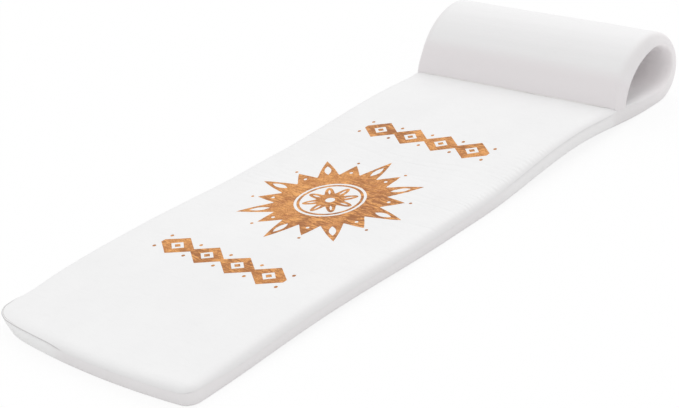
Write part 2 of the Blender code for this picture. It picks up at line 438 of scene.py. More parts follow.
def place(x, s, n):
    """Points of the slab: the middle layer at s plus n along its normal. Behind the pillow the
    inner side is drawn out by the squeeze times the squared sine of the heading."""
    heading = heading_at(s)
    share = straight(n, foam_inset - half_thick, mat_thickness - 2 * foam_inset)
    bent = (heading > 0) & (heading < pi) & (s > roll_start)
    n = n - np.where(bent, bend_squeeze * np.sin(heading) ** 2 * share, 0)
    tilt = np.where(s < roll_start, deck_lift(s, x) - deck_lift(s, 0.0), 0)
    y = np.interp(s, line_s, line_y) - n * np.sin(heading)
    z = np.interp(s, line_s, line_z) + n * np.cos(heading) + tilt
    return np.stack(np.broadcast_arrays(x, y, z), -1)


def eased(v):
    """0 to 1 with flat ends: 3 v squared minus 2 v cubed."""
    v = np.clip(v, 0, 1)
    return v * v * (3 - 2 * v)


def straight(v, start, run):
    """0 before the start, 1 past the run, straight between."""
    return np.clip((v - start) / run, 0, 1)


def risen(v, start, run):
    """0 before the start, 1 past the run, eased between."""
    return eased((v - start) / run)


def window(v, start, end, ramp):
    """1 between start and end, eased to 0 over the ramp outside them."""
    return eased((v - start) / ramp + 1) * eased((end - v) / ramp + 1)


def ripples(seed, count, lengths):
    """Wave numbers and phases of a soft random surface, as rows (along x, along s, phase), with
    wave lengths between the two given."""
    draw = np.random.default_rng(seed)
    size = tau / np.exp(draw.uniform(*np.log(lengths), count))
    turn = draw.uniform(0, tau, count)
    return np.stack([size * np.cos(turn), size * np.sin(turn), draw.uniform(0, tau, count)], 1)


def soft_random(x, s, waves):
    """Sum of sine waves over x and s, one for each row, over the square root of their number."""
    total = np.zeros(np.broadcast(x, s).shape)
    for along_x, along_s, phase in waves:
        total += np.sin(along_x * x + along_s * s + phase)
    return total / len(waves) ** 0.5


swell_waves = ripples(seed=3, count=9, lengths=swell_lengths)
crumple_waves = ripples(seed=8, count=14, lengths=crumple_lengths)
glue_waves = ripples(seed=5, count=12, lengths=glue_wander_lengths)


def creases(x, s):
    """Depth of fine transverse creases where the deck bends up again: each is a narrow bell over
    s about a slanted, slightly bowed line across x, in a window of x."""
    draw = np.random.default_rng(seed=21)
    depth = np.zeros(np.broadcast(x, s).shape)
    for _ in range(crease_count):
        centre_s = draw.normal(crease_middle_s, crease_spread_s)
        centre_x = draw.uniform(*crease_x_range)
        reach = draw.uniform(*crease_reach_range)
        slant = draw.normal(0.0, crease_slant)
        bow = draw.normal(0.0, crease_bow)
        width = draw.uniform(*crease_width_range)
        size = draw.uniform(*crease_depth_range)
        flat = reach * crease_flat_share
        across = x - centre_x
        away = (s - centre_s - slant * across - bow * across ** 2) / width
        depth += size * np.exp(-away ** 2) * window(across, -flat, flat, reach)
    return depth


def edge_pleats(x, s):
    """Short pleats at the deck's sides: a wave over s, its crests slanted, that grows towards each
    side edge where the deck bends up again, and swings in height along s."""
    side = risen(np.abs(x), *pleat_rise_x)
    bent = window(s, *pleat_stretch) * np.where(x > 0, 1.0, left_pleat_share)
    slanted = s + pleat_slant * np.abs(x)
    wander = pleat_wander * np.sin(tau * s / pleat_wander_length)
    wave = np.sin(tau * slanted / pleat_spacing + wander)
    swing = np.sin(tau * s / pleat_swing_length + pleat_swing_phase)
    return pleat_height * side * bent * wave * (1 - pleat_swing_share + pleat_swing_share * swing)


def deck_heave(x, s):
    """Height of the deck's coating over its plain form: long swells, less the creases, plus a
    crumple and the side pleats. On the pillow's inside only the swells stay."""
    lying = window(s, *smooth_stretch)
    crumple = crumple_height * window(s, *crumple_stretch) * soft_random(x, s, crumple_waves)
    swell = swell_height * soft_random(x, s, swell_waves)
    return swell + lying * (crumple - creases(x, s) + edge_pleats(x, s))


def under_heave(x, s):
    """What the under coating adds to n: nothing on the lying part, and on the pillow's outside,
    where outwards is less n, soft marks that run along x, as a sum of waves over s, and swells."""
    start, run = pillow_mark_rise
    outside = risen(s, roll_start + start, run)
    wander = pillow_mark_wander * np.sin(pillow_mark_turn * x)
    marks = np.sin(tau * s / pillow_mark_length + wander)
    marks = marks + np.sin(tau * s / wide_mark_length + wide_mark_turn * x)
    swell = pillow_swell_height * soft_random(x, s, swell_waves)
    return -outside * (pillow_mark_height * marks + swell)


def near_tip(x, s, reach):
    """1 at the very tip of the foot's left corner, eased to 0 at the reach from it."""
    return 1 - risen(np.hypot(x + half_width, s), 0, reach)


def crisp_foot(x, past):
    """1 along the left part of the foot edge, eased to 0 past its corner and towards the middle."""
    return window(x, *crisp_foot_stretch) * (1 - risen(past, *crisp_foot_end))


def crisp_seam(x, past):
    """How crisp the seam is at a place of the rim: 1 along the left part of the foot edge and
    less on the right side up to the landed end of the pillow, eased to 0 elsewhere."""
    stop = risen(past, landing_past - crisp_side_stop, crisp_side_stop)
    side = crisp_side_share * risen(past, *crisp_side_rise) * (1 - stop)
    return np.maximum(np.where(x > right_side_x, side, 0), crisp_foot(x, past))


def under_landing(past):
    """1 on the stretch of deck that lies under the pillow's landed end, eased to 0 off it."""
    return window(past, *under_landing_stretch)


def bore_mouth(past):
    """1 along the bore's mouth below and behind, eased to 0 before it and over the pillow's top."""
    return window(past, *mouth_stretch)


def long_side(past):
    """1 along the sides of the lying part, eased to 0 at the foot and before the pillow."""
    return (1 - risen(past, *long_side_end)) * risen(past, *past_foot_rise)


def edge_drop(x, past):
    """Fall of the deck's edge to the seam: least at the foot's left corner, small along the left
    part of the foot edge, under the landed end and on the pillow's front, middling on the right
    side before the pillow, larger elsewhere and most on the sides of the lying part."""
    firm = np.where(x > right_side_x, firm_side_share * window(past, *firm_side_stretch), 0)
    foot, landing, mouth = crisp_foot(x, past), under_landing(past), bore_mouth(past)
    tight = np.maximum(np.maximum(firm, foot), landing)
    tight = np.maximum(tight, risen(past, *rolled_rise) * (1 - mouth))
    fall = edge_fall + (1 - tight) * (lying_fall + long_side_fall * long_side(past))
    fall = fall + crisp_foot_fall * foot + tip_fall * near_tip(x, past, tip_reach)
    return fall + landing_fall * landing + mouth_fall * mouth


def edge_reach(x, past):
    """Width of the deck's edge: wide at the foot, less along the sides, widest in the bore's mouth
    and narrow on the pillow's front."""
    narrow = np.where(x > right_side_x, narrow_side_share * window(past, *narrow_side_stretch), 0)
    tight = np.maximum(narrow, risen(past, *rolled_rise)) * (1 - bore_mouth(past))
    width = edge_width + past_foot_width * risen(past, *past_foot_rise)
    width = width + long_side_width * long_side(past) + mouth_width * bore_mouth(past)
    return width + tight_width * tight


def deck_edge(k, x, past):
    """Round edge of the deck side as (distance in from the side, n): a quarter ellipse from the
    seam inwards. Where the seam is crisp the ellipse starts part of the way up, so that its rim
    is an edge, and the rim stands out and a little above the wall."""
    way = k / (edge_points - 1)
    crisp = crisp_seam(x, past)
    first = lip_angle * crisp
    angle = first + (pi / 2 - first) * way
    lip = crisp * (1 - way) ** lip_fade
    e = edge_reach(x, past) * (1 - np.cos(angle) / np.cos(first)) - lip_out * lip
    drop = edge_drop(x, past) * (1 - np.sin(angle)) / (1 - np.sin(first))
    return e, half_thick - drop + lip_base + lip_up * lip


def under_edge(k, x, past):
    """Side wall and round lower edge as (distance in from the side, n): a slightly bulging wall
    below the seam, then a quarter circle whose radius grows over the pillow and shrinks again at
    its landed end. Where the seam is crisp the wall's top draws in, as the square of the height
    over the groove's foot, and rises behind the deck's rim."""
    turned = eased(heading_at(past) / (pi / 2))
    radius = under_edge_radius + (pillow_edge_radius - under_edge_radius) * turned
    landed = risen(past, sheet_end - landed_shrink_run, landed_shrink_run)
    radius = radius * (1 - landed_shrink_share * landed)
    wall = np.clip(k / wall_points, 0, 1) ** wall_crowding
    angle = np.clip(k - wall_points, 0, None) / (edge_points - 1 - wall_points) * pi / 2
    top = half_thick - edge_drop(x, past)
    n = top + (radius - half_thick - top) * wall - radius * np.sin(angle)
    groove = np.clip(1 - (top - n) / groove_height, 0, 1) ** 2
    e = radius * (1 - np.cos(angle)) - wall_bulge * np.sin(pi * wall) ** 2
    crisp = crisp_seam(x, past)
    return e + groove_depth * groove * crisp, n + groove_rise * groove ** 3 * crisp


def deck_top(x, y):
    """Height of the deck's coating at y: its middle layer plus n, which falls as a quarter
    ellipse near the sides."""
    s = y - corner_line_y
    for _ in range(deck_rounds):
        past = s - foot_corner_radius
        inwards = np.clip((half_width - np.abs(x)) / edge_reach(x, past), 0, 1)
        n = half_thick - edge_drop(x, past) * (1 - np.sqrt(1 - (1 - inwards) ** 2))
        s = y - corner_line_y + n * np.sin(heading_at(s))
    return place(x, s, n)[..., 2]


def landing_s(x, n):
    """Length s at which the front wall's layer n meets the deck, by halving the last stretch. The
    gap for the glue closes towards the sides."""
    side = risen(np.abs(x), half_width - landing_side_reach, landing_side_run)
    gap = landing_gap + (landing_side_gap - landing_gap) * side
    low = np.full(np.broadcast(x, n).shape, line_end - landing_search)
    high = np.full_like(low, line_end + run_out)
    for _ in range(landing_rounds):
        middle = (low + high) / 2
        point = place(x, middle, n)
        above = point[..., 2] > deck_top(x, point[..., 1]) + gap
        low = np.where(above, middle, low)
        high = np.where(above, high, middle)
    return low


def contact_y(x, n):
    """Where the front wall's layer n lands on the deck."""
    return place(x, landing_s(x, n), n)[..., 1]


def row_places():
    """The sheet's rows as (corner angle, length past the corner): the foot's front edge at angle
    0, its corners, then the length of the mat, closer together where the coating is creased."""
    corner = np.linspace(0, pi / 2, corner_rows)[1:]
    way = np.linspace(0, sheet_end, row_search_points)
    density = 1 + sum(extra * window(way, *stretch) for extra, stretch in row_crowds)
    density = np.cumsum(density)
    density = (density - density[0]) / (density[-1] - density[0])
    lengths = np.interp(np.linspace(0, 1, length_rows), density, way)[1:]
    angles = np.concatenate([corner, np.full_like(lengths, pi / 2)])
    return angles, np.concatenate([np.zeros_like(corner), lengths])


def seam_shade(x, past, off_seam):
    """How strong the painted shade along the seam's line is: as the seam is crisp, falling straight
    to 0 off the seam.
    """
    side = crisp_seam(x, past) ** 3
    dark = np.maximum(eased(2 * crisp_foot(x, past)), side)
    return dark * (1 - straight(off_seam, 0, seam_shade_reach))


def drawn_in(x, s, n):
    """The points with the foot's left corner drooped and drawn in, more so towards the floor, and
    its tip rounded off."""
    corner = risen(-x, *corner_rise_x) * (1 - risen(s, *corner_end_s))
    n = n - corner_droop * corner * straight(n, *droop_rise_n)
    tuck = (1 - straight(n, *tuck_end_n)) * near_tip(x, s, tuck_reach)
    round_off = near_tip(x, s, round_off_reach)
    draw = corner_draw * corner * straight(-x, *draw_rise_x)
    x = x + draw + tuck_x * tuck + round_off_x * round_off
    return x, s + tuck_s * tuck + round_off_s * round_off, n


def coating_sheet(name, edge, columns, heave, facing):
    """One side of the coating, from its edge's profile. Each row has the profile's points on the
    left, columns across and the profile's points on the right. In plan a profile point lies at
    the corner's centre plus (corner radius less its distance in) in the direction of the row's
    corner angle. The rows behind the bowed front edge ease into straight ones, and the last ones
    stretch to where the front wall lands. The relief is added, and the left corner drawn in."""
    angles, lengths = row_places()
    angles = np.concatenate([np.zeros(edge_points), angles])[:, None]
    lengths = np.concatenate([np.zeros(edge_points), lengths])[:, None]
    inner = edge_points - 1
    shares = np.linspace(-1, 1, columns + 2)[None, 1:-1]
    right = np.ones((1, edge_points))
    profile = np.arange(edge_points)
    column_k = np.concatenate([profile, np.full(columns, inner), profile[::-1]])
    k = np.minimum(column_k[None, :], np.arange(len(angles))[:, None])
    near_x = np.concatenate([-right, shares, right], 1) * half_width + 0 * lengths
    e, n = edge(k, near_x, lengths + 0 * near_x)
    seam_e, seam_n = edge(0 * k, near_x, lengths)
    off_seam = np.abs(seam_n - n) + np.maximum(facing, 0) * (e - seam_e)
    radius = foot_corner_radius
    x = np.sign(near_x) * (half_width - radius + (radius - e) * np.sin(angles))
    t = radius - (radius - e) * np.cos(angles) + lengths
    middle = slice(edge_points, edge_points + columns)
    way = (shares + 1) / 2
    x[:, middle] = x[:, inner:inner + 1] * (1 - way) + x[:, -edge_points:-inner] * way
    t[edge_points:, middle] = t[edge_points:, inner:inner + 1]
    s = t - foot_bow * (1 - risen(t, radius, foot_bow_run)) * (1 - (x / half_width) ** 2)
    last = line_end - landing_stretch
    stretch = (landing_s(x[-1:], n[-1:]) - last) / (line_end - last)
    s = np.where(s > last, last + (s - last) * stretch, s)
    inside = np.minimum(half_width - np.abs(x), t)
    n = n + heave(x, s) * risen(inside, *relief_rise)
    x, s, n = drawn_in(x, s, n)
    # Its marks carry the distance from the rim, for the painted shade and light round it, the
    # painted shade along the seam's line and the painted light under a crisp seam.
    return sheet_mesh(name, place(x, s, n), facing, x, s,
                      rim_distance=np.minimum(half_width - np.abs(x), t + foot_rim_extra),
                      seam_shade=seam_shade(near_x, lengths, off_seam),
                      white_share=crisp_seam(near_x, lengths) + 0 * e)


def linked(name, data):
    """A new object with that data, in the scene."""
    made = bpy.data.objects.new(name, data)
    bpy.context.scene.collection.objects.link(made)
    return made


def map_flat(mesh, x, s):
    """The mesh's UV map: x and s of each of its vertices."""
    loops = np.empty(len(mesh.loops), dtype=np.int32)
    mesh.loops.foreach_get("vertex_index", loops)
    flat = np.stack([x.reshape(-1), s.reshape(-1)], 1)[loops]
    layer = mesh.uv_layers.new(name="sheet")
    layer.data.foreach_set("uv", flat.astype(np.float32).reshape(-1))


def sheet_mesh(name, points, facing, x=None, s=None, **marks):
    """A mesh of quads over a grid of points, its doubles merged, with x and s as its UV map and
    the marks as attributes. Its faces point along columns cross rows at facing 1 and the other
    way at -1."""
    rows, columns = points.shape[:2]
    mesh = bpy.data.meshes.new(name)
    index = np.arange(rows * columns).reshape(rows, columns)
    corners = [index[:-1, :-1], index[:-1, 1:], index[1:, 1:], index[1:, :-1]]
    quads = np.stack(corners[::facing], -1).reshape(-1, 4)
    mesh.from_pydata(points.reshape(-1, 3), [], quads)
    if x is not None:
        map_flat(mesh, x, s)
    for mark, values in marks.items():
        layer = mesh.attributes.new(mark, "FLOAT", "POINT")
        layer.data.foreach_set("value", values.astype(np.float32).reshape(-1))
    shape = bmesh.new()
    shape.from_mesh(mesh)
    bmesh.ops.remove_doubles(shape, verts=shape.verts, dist=merge_distance)
    bmesh.ops.dissolve_degenerate(shape, dist=merge_distance, edges=shape.edges)
    for face in shape.faces:
        face.smooth = True
    for line in shape.edges:
        line.smooth = not line.is_boundary
    shape.to_mesh(mesh)
    shape.free()
    return linked(name, mesh)


def thickened(piece, thickness):
    """The piece with a wall of that thickness, inwards from its faces."""
    solid = piece.modifiers.new("wall", "SOLIDIFY")
    solid.thickness = thickness
    solid.offset = -1
    return piece


class Socket:
    """An output socket among the nodes. Arithmetic on it adds Math nodes."""

    def __init__(self, nodes, output):
        self.nodes = nodes
        self.output = output

    def math(self, operation, other, swap=False):
        """A Math node of this socket and the other, or at swap of the other and this one."""
        pair = {0: other, 1: self} if swap else {0: self, 1: other}
        return self.nodes.node("ShaderNodeMath", {"operation": operation}, pair)

    def __add__(self, other):
        return self.math("ADD", other)

    def __sub__(self, other):
        return self.math("SUBTRACT", other)

    def __mul__(self, other):
        return self.math("MULTIPLY", other)

    def __rsub__(self, other):
        return self.math("SUBTRACT", other, True)

    __radd__ = __add__
    __rmul__ = __mul__


class Nodes:
    """The nodes of a finish or of the studio."""

    def __init__(self, tree):
        self.tree = tree

    def node(self, kind, settings, sockets, output=0):
        """A node of that kind, its settings set first, then its sockets' values or links."""
        made = self.tree.nodes.new(kind)
        for key, value in settings.items():
            if key == "stops":
                for stop, (at, shade) in zip(made.color_ramp.elements, value):
                    stop.position = at
                    stop.color = (shade, shade, shade, 1)
            else:
                setattr(made, key, value)
        for key, value in sockets.items():
            if isinstance(value, Socket):
                self.tree.links.new(value.output, made.inputs[key])
            else:
                made.inputs[key].default_value = value
        return Socket(self, made.outputs[output])

    def surface(self, end, value):
        """Feed the surface of the end node."""
        self.tree.links.new(value.output, self.tree.nodes[end].inputs["Surface"])


class Finish(Nodes):
    """A material with a Principled BSDF, whose constant values are set on its own sockets."""

    def __init__(self, name, **values):
        self.material = bpy.data.materials.new(name)
        self.material.use_nodes = True
        super().__init__(self.material.node_tree)
        self.shader = self.tree.nodes["Principled BSDF"]
        for socket, value in values.items():
            self.shader.inputs[socket.replace("_", " ")].default_value = value

    def along(self):
        """The UV map's second part: the length along the mat."""
        point = self.node("ShaderNodeUVMap", {"uv_map": "sheet"}, {})
        return self.node("ShaderNodeSeparateXYZ", {}, {"Vector": point}, 1)

    def mark(self, name):
        """The value of that attribute of the mesh."""
        return self.node("ShaderNodeAttribute", {"attribute_name": name}, {}, 2)

    def object_point(self):
        """The object's own coordinates."""
        return self.node("ShaderNodeTexCoord", {}, {}, 3)

    def wavy_point(self, scale):
        """The UV map as a point, pushed about by a soft noise and then stretched by the scale."""
        point = self.node("ShaderNodeUVMap", {"uv_map": "sheet"}, {})
        sockets = {"Vector": point, "Scale": wrinkle_push_scale, "Detail": 2.0}
        push = self.node("ShaderNodeTexNoise", {}, sockets, 1)
        moved = self.node("ShaderNodeVectorMath", {"operation": "MULTIPLY_ADD"},
                          {0: push, 1: wrinkle_push, 2: point})
        return self.node("ShaderNodeMapping", {}, {"Vector": moved, "Scale": scale})

    def noise(self, point, scale, detail, roughness=0.5):
        """A soft noise over the point times the scale."""
        sockets = {"Vector": point, "Scale": scale, "Detail": detail, "Roughness": roughness}
        return self.node("ShaderNodeTexNoise", {}, sockets)

    def ridge(self, value, low, high):
        """Thin lines where a noise passes its middle level: 1 less twice its distance from one
        half, from 0 at low to 1 at high."""
        away = (value * 2 - 1).math("ABSOLUTE", 0.0)
        return self.ramp(1 - away, low, high)

    def ramp(self, value, low, high):
        """0 below low, 1 above high, straight between."""
        settings = {"stops": ((low, 0.0), (high, 1.0))}
        return self.node("ShaderNodeValToRGB", settings, {"Fac": value})

    def length_ramp(self, length, longest, low, high):
        """0 below the low length, 1 above the high one, straight between. A ramp takes 0 to 1, so
        the lengths are divided by the longest."""
        return self.ramp(length * (1 / longest), low / longest, high / longest)

    def along_ramp(self, line, leads):
        """0 up to the first lead before that place along the mat, 1 past the second."""
        low, high = (line - lead for lead in leads)
        return self.length_ramp(self.along(), longest_length, low, high)

    def blend(self, share, first, second):
        """Colour between two colours, each the output of a node or red, green and blue."""
        pair = [shade if isinstance(shade, Socket) else (*shade, 1) for shade in (first, second)]
        sockets = {0: share, 6: pair[0], 7: pair[1]}
        return self.node("ShaderNodeMix", {"data_type": "RGBA"}, sockets, 2)

    def bump(self, height, distance, strength):
        """Normal raised by height times distance."""
        sockets = {"Height": height, "Distance": distance, "Strength": strength}
        return self.node("ShaderNodeBump", {}, sockets)

    def set(self, socket, value):
        """Feed that socket of the shader."""
        self.tree.links.new(value.output, self.shader.inputs[socket])


def coating_relief(finish, wrinkle_scale):
    """Height of the vinyl's fine relief: long wrinkles along x, dimples of about 8 mm and a
    pebbled grain of about a millimetre, with the wrinkles alone."""
    wrinkle = finish.noise(finish.wavy_point(wrinkle_scale), 1.0, detail=3.0, roughness=0.55)
    dimples = finish.noise(finish.object_point(), dimple_scale, detail=2.0, roughness=0.4)
    pebbles = finish.noise(finish.object_point(), pebble_scale, detail=1.0)
    height = wrinkle_share * wrinkle + dimple_share * dimples + pebble_share * pebbles
    return height, wrinkle


def coating_finish(name, bright, mottle_and_crease_shade, rolled_up, landed, rim, rolled_rim_painted_light, painted_light_strength,
                   wrinkle_scale, depth):
    """White vinyl: a faint mottle of its own, painted shade in the lines of its wrinkles, a satin
    gloss that both break, tones on the pillow and at its landed end that are partly a pinker hue
    of its own and partly painted light and shade, painted shade round the rim, and painted light
    round the pillow's rim. Under a crisp seam painted light is laid on by that strength, and the
    seam's line gets painted shade. The depth is the strength of the relief, which is calmer near
    the foot."""
    finish = Finish(name, Specular_IOR_Level=0.35)
    relief, wrinkle = coating_relief(finish, wrinkle_scale)
    mottle = finish.noise(finish.object_point(), mottle_scale, detail=3.0, roughness=0.6)
    # The wrinkles' lines give painted shade in the creases; the mottle is the vinyl's own tone.
    lines = finish.ramp(wrinkle, *wrinkle_levels)
    patches = finish.ramp(mottle, *mottle_levels)
    tone = mottle_tone_share * patches + (1 - mottle_tone_share) * lines
    outside = finish.blend(tone, bright, mottle_and_crease_shade)
    # On the pillow and at its landed end: a pinker hue of its own with painted light and shade.
    rolled = finish.along_ramp(roll_start, rolled_tone_leads)
    front = finish.along_ramp(line_end, front_tone_leads)
    at_end = finish.along_ramp(line_end, landed_tone_leads)
    # Painted shade round the rim, and painted light round the pillow's rim.
    near_rim = 1 - finish.length_ramp(finish.mark("rim_distance"), widest_rim, *rim_tone_reach)
    body = finish.blend(at_end, finish.blend(rolled, outside, rolled_up), landed)
    edge_tone = finish.blend(rolled * (1 - front), rim, rolled_rim_painted_light)
    body = finish.blend(near_rim * (1 - at_end), body, edge_tone)
    # Painted light on the wall under a crisp seam.
    body = finish.blend(painted_light_strength * finish.mark("white_share"), body, painted_light_tone)
    # Painted shade along the seam's line.
    seam = seam_shade_strength * finish.mark("seam_shade")
    finish.set("Base Color", finish.blend(seam, body, seam_shade_colour))
    broken = gloss_break_share * mottle + gloss_break_share * lines
    finish.set("Roughness", vinyl_roughness + broken)
    past_foot = finish.length_ramp(finish.along(), longest_length, *calm_foot_reach)
    calm = calm_foot_share + (1 - calm_foot_share) * past_foot
    finish.set("Normal", finish.bump(relief * calm, vinyl_relief_height, depth))
    return finish.material


def ink_finish():
    """Copper ink on the wrinkled vinyl: clouds and grains of lighter and darker copper, and thin
    wavy lines of painted shade across the mat, in the creases of the wrinkles."""
    finish = Finish("copper_ink_finish", Metallic=0.25, Specular_IOR_Level=0.25)
    relief, _ = coating_relief(finish, deck_wrinkles)
    grains = finish.noise(finish.object_point(), ink_grain_scale, detail=3.0, roughness=0.6)
    clouds = finish.noise(finish.object_point(), ink_cloud_scale, detail=3.0, roughness=0.6)
    folds = finish.noise(finish.wavy_point(ink_lines), 1.0, detail=2.0, roughness=0.45)
    lines = finish.ridge(folds, *ink_line_levels)
    patches = finish.noise(finish.object_point(), ink_patch_scale, detail=1.0)
    patches = finish.ramp(patches, *ink_patch_levels)
    mixed = ink_grain_share * grains + (1 - ink_grain_share) * clouds
    copper = finish.blend(finish.ramp(mixed, *ink_tone_levels), dark_copper, light_copper)
    # Painted shade in the crease lines, stronger in patches.
    dark = lines * (ink_line_share + (1 - ink_line_share) * patches)
    finish.set("Base Color", finish.blend(dark, copper, ink_crease_shade))
    broken = ink_cloud_break_share * clouds + gloss_break_share * lines
    finish.set("Roughness", ink_roughness + broken)
    dipped = relief - ink_dip_share * lines
    finish.set("Normal", finish.bump(dipped, vinyl_relief_height, strength=0.8))
    return finish.material


def glue_finish():
    """Dried glue: cream, a little glossy, with a lumpy surface."""
    finish = Finish("glue_finish", Roughness=0.45)
    lumps = finish.noise(finish.object_point(), glue_lump_scale, detail=3.0)
    finish.set("Base Color", finish.blend(lumps, dark_glue, light_glue))
    finish.set("Normal", finish.bump(lumps, glue_lump_height, strength=0.6))
    return finish.material


def dressed(piece, material, slot, *nodes):
    """The piece with its finish, on the one body, standing for the given nodes."""
    piece.data.materials.clear()
    piece.data.materials.append(material)
    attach(piece, "root")
    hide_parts(*nodes)
    return piece


def ring(radius_at, count):
    """Closed outline round (0, 0): the radius is a function of the angle."""
    angle = np.arange(count) * tau / count
    radius = radius_at(angle)
    return np.stack([radius * np.cos(angle), radius * np.sin(angle)], 1)


def circle(radius, count):
    """Outline of one radius all round (0, 0)."""
    return ring(lambda angle: radius + 0 * angle, count)


def lens(length, width, spot, turn):
    """Pointed oval of that length and width, turned about (0, 0) and centred at the spot along
    its own length: the width follows the squared sine of the way round, with its sign."""
    way = np.arange(lens_points) * tau / lens_points
    u = spot + length / 2 * np.cos(way)
    v = width / 2 * np.sin(way) * np.abs(np.sin(way))
    return np.stack([u * cos(turn) - v * sin(turn), u * sin(turn) + v * cos(turn)], 1)


def dot(radius, spot, turn):
    """Small round outline at the spot along the turned direction."""
    return circle(radius, dot_points) + spot * np.array([cos(turn), sin(turn)])


def saw(angle, count):
    """1 at each of count points round the circle, falling evenly to 0 midway between them."""
    part = angle * count / tau % 1
    return np.abs(1 - 2 * part)


def sun_outlines():
    """Ring of long and short rays with slightly hollow flanks, a round middle left open, a lens
    in each long ray, and two dots in line with each short one, at its foot and past its tip."""
    def radius_at(angle):
        tip = np.where(saw(angle, sun_rays / 2) > 0.5, sun_tip_radius, sun_short_tip_radius)
        rise = saw(angle, sun_rays) ** sun_ray_hollow
        return sun_valley_radius + (tip - sun_valley_radius) * rise

    outlines = [ring(radius_at, ray_points * sun_rays), circle(sun_hole_radius, sun_hole_points)]
    slot_spot = (sun_valley_radius + sun_tip_radius - sun_slot_length / 2) / 2
    inner_spot = sun_valley_radius + sun_inner_dot_gap
    outer_spot = sun_short_tip_radius + sun_outer_dot_gap
    for ray in range(sun_rays // 2):
        turn = 2 * tau * ray / sun_rays
        between = turn + tau / sun_rays
        outlines.append(lens(sun_slot_length, sun_slot_width, slot_spot, turn))
        outlines.append(dot(sun_inner_dot_radius, inner_spot, between))
        outlines.append(dot(sun_outer_dot_radius, outer_spot, between))
    return outlines


def rosette_outlines():
    """Flower of rounded petals with a round eye and a narrow lens in each petal, inside a thin
    ring of its own."""
    mean = (rosette_petal_radius + rosette_valley_radius) / 2
    swing = (rosette_petal_radius - rosette_valley_radius) / 2
    petals = ring(lambda angle: mean + swing * np.cos(rosette_petals * angle),
                  petal_points * rosette_petals)
    outlines = [petals, circle(rosette_hole_radius, rosette_hole_points)]
    for share in rosette_ring_shares:
        radius = rosette_petal_radius + share * (sun_hole_radius - rosette_petal_radius)
        outlines.append(circle(radius, rosette_ring_points))
    for petal in range(rosette_petals):
        turn = tau * petal / rosette_petals
        outlines.append(lens(petal_slot_length, petal_slot_width, petal_slot_radius, turn))
    return outlines


def band_outlines():
    """Row of diamonds joined by narrow necks, each with a diamond window, a small diamond in the
    window, and dots over and under the necks."""
    centres = (np.arange(band_diamonds) - (band_diamonds - 1) / 2) * band_diamond_length
    half = np.array([band_diamond_length, band_diamond_width]) / 2
    upper = [(centres[0] - half[0], band_neck / 2)]
    for centre in centres:
        upper += [(centre, half[1]), (centre + half[0], band_neck / 2)]
    outlines = [np.array(upper + [(x, -y) for x, y in reversed(upper)])]
    unit = np.array([(-0.5, 0), (0, 0.5), (0.5, 0), (0, -0.5)])
    opening = np.array([band_window_length, band_window_width])
    for centre in centres:
        outlines.append(unit * opening + (centre, 0))
        outlines.append(unit * opening * band_centre_share + (centre, 0))
    for side in (-1, 1):
        for spot in np.append(centres - half[0], centres[-1] + half[0]):
            outlines.append(circle(band_dot_radius, dot_points) + (spot, side * band_dot_y))
    return outlines


def filled(name, outlines):
    """A flat mesh of the outlines, filled by the even-odd rule."""
    curve = bpy.data.curves.new(name, "CURVE")
    curve.dimensions = "2D"
    curve.fill_mode = "BOTH"
    for outline in outlines:
        spline = curve.splines.new("POLY")
        spline.points.add(len(outline) - 1)
        flat = np.zeros((len(outline), 4))
        flat[:, :2] = outline
        spline.points.foreach_set("co", flat.reshape(-1))
        spline.use_cyclic_u = True
    guide = linked(name + "_outline", curve)
    graph = bpy.context.evaluated_depsgraph_get()
    mesh = bpy.data.meshes.new_from_object(guide.evaluated_get(graph))
    bpy.data.objects.remove(guide)
    return mesh


def cut_up(mesh, reach):
    """The mesh in triangles, cut at even steps across and along, up to the reach on each axis."""
    shape = bmesh.new()
    shape.from_mesh(mesh)
    bmesh.ops.remove_doubles(shape, verts=shape.verts, dist=ink_merge_distance)
    for axis, step in ((0, ink_cut_x), (1, ink_cut_y)):
        normal = Vector((axis == 0, axis == 1, 0))
        for at in np.arange(-reach[axis], reach[axis], step)[1:]:
            everything = shape.verts[:] + shape.edges[:] + shape.faces[:]
            bmesh.ops.bisect_plane(shape, geom=everything, plane_co=normal * at, plane_no=normal,
                                   dist=merge_distance)
    bmesh.ops.triangulate(shape, faces=shape.faces)
    shape.to_mesh(mesh)
    shape.free()


def ink_film(name, outlines, centre_y):
    """A film of ink on the deck: the filled outlines, each point placed a little over the deck's
    coating."""
    mesh = filled(name, outlines)
    cut_up(mesh, np.abs(np.concatenate(outlines)).max(0))
    flat = np.empty(3 * len(mesh.vertices))
    mesh.vertices.foreach_get("co", flat)
    x, y = flat.reshape(-1, 3)[:, 0], flat.reshape(-1, 3)[:, 1]
    s = y + centre_y - corner_line_y
    points = place(x, s, half_thick + deck_heave(x, s) + ink_gap)
    mesh.vertices.foreach_set("co", points.reshape(-1))
    map_flat(mesh, x, s)
    if mesh.polygons[0].normal.z < 0:
        mesh.flip_normals()
    return thickened(linked(name, mesh), ink_thickness)


def glue_seam():
    """The glue between the pillow's landed end and the deck. Its section is a thin closed strip
    over y with a bead at either edge, whose size wanders along x. Its ends taper to a point."""
    glue_half = half_width - glue_side_gap
    x = np.linspace(-1, 1, glue_sections)[:, None] * glue_half
    front = contact_y(x, -half_thick)
    back = contact_y(x, half_thick)
    middle, half = (front + back) / 2, (back - front) / 2
    way = np.arange(glue_round_points)[None, :] * tau / glue_round_points
    taper = np.sqrt(np.clip(1 - (x / glue_half) ** glue_taper_power, 0, 1))
    wander = 1 + glue_wander_share * soft_random(x, 0 * x, glue_waves)
    bead = glue_bead_depth * wander * np.abs(np.cos(way)) ** glue_bead_power
    thick = (glue_half_depth + bead) * np.abs(np.sin(way)) ** 0.5 * taper
    reach = half + glue_bead_width * wander
    y = middle - np.cos(way) * reach * (glue_point_share + (1 - glue_point_share) * taper)
    z = deck_top(x, y) + landing_lift / 2 + thick * np.sign(np.sin(way))
    points = np.stack(np.broadcast_arrays(x, y, z), -1)
    return sheet_mesh("glue_seam", np.concatenate([points, points[:, :1]], 1), -1)
